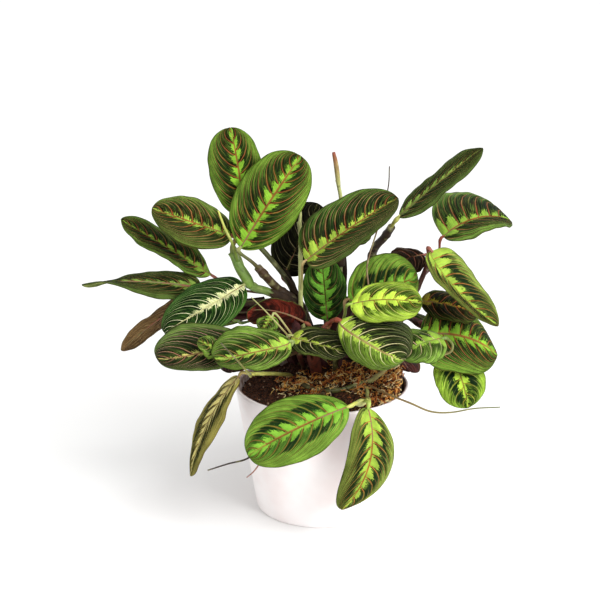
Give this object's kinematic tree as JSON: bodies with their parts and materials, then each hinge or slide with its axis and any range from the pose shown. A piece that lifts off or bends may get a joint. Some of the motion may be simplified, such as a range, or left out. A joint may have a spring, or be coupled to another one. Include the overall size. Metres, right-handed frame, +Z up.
{
  "type": "potted prayer plant",
  "caption": "Low bushy prayer plant with oval patterned leaves on creeping shoots, growing from mounded peat in a plain white tapered pot.",
  "frame": {"origin": "centre of the pot's flat underside, on the surface it stands on", "axes": "+Z up out of the pot, +X to the right and +Y to the back when the plant's front faces the viewer"},
  "size_m": [0.3172, 0.221, 0.2872],
  "materials": {
    "pot": "smooth satin white",
    "peat": "rough crumbly",
    "stalk": "satin",
    "leaf_mature": "satin",
    "leaf_young": "satin"
  },
  "bodies": {
    "root": {"pot": "pot", "soil": "peat", "runner_front": "stalk", "runner_root": "stalk", "shoot_back_left": "stalk", "shoot_back_right": "stalk", "shoot_bud": "stalk", "shoot_crown": "stalk", "shoot_far_right": "stalk", "shoot_front": "stalk", "shoot_hanging": "stalk", "shoot_low_left": "stalk", "shoot_low_right": "stalk", "shoot_middle": "stalk", "shoot_right": "stalk", "shoot_sheath": "stalk", "shoot_tall": "stalk", "shoot_upright": "stalk", "leaf_back_1": "leaf_mature", "leaf_back_2": "leaf_mature", "leaf_back_3": "leaf_mature", "leaf_back_4": "leaf_mature", "leaf_back_5": "leaf_mature", "leaf_back_6": "leaf_mature", "leaf_back_7": "leaf_mature", "leaf_back_8": "leaf_mature", "leaf_back_9": "leaf_mature", "leaf_crown_1": "leaf_mature", "leaf_crown_2": "leaf_mature", "leaf_crown_3": "leaf_mature", "leaf_crown_4": "leaf_mature", "leaf_crown_5": "leaf_mature", "leaf_crown_6": "leaf_mature", "leaf_front_1": "leaf_mature", "leaf_front_2": "leaf_young", "leaf_front_3": "leaf_mature", "leaf_left_1": "leaf_mature", "leaf_left_2": "leaf_mature", "leaf_left_3": "leaf_mature", "leaf_left_4": "leaf_mature", "leaf_left_5": "leaf_mature", "leaf_left_6": "leaf_mature", "leaf_low_left_1": "leaf_mature", "leaf_low_left_2": "leaf_young", "leaf_low_left_3": "leaf_young", "leaf_low_left_4": "leaf_young", "leaf_low_left_5": "leaf_mature", "leaf_low_right_1": "leaf_mature", "leaf_low_right_2": "leaf_young", "leaf_low_right_3": "leaf_young", "leaf_middle_1": "leaf_mature", "leaf_middle_2": "leaf_young", "leaf_middle_3": "leaf_young", "leaf_middle_4": "leaf_mature", "leaf_middle_5": "leaf_mature", "leaf_middle_6": "leaf_young", "leaf_right_1": "leaf_mature", "leaf_right_2": "leaf_mature", "leaf_right_3": "leaf_young", "leaf_right_4": "leaf_mature"}
  },
  "joints": []
}
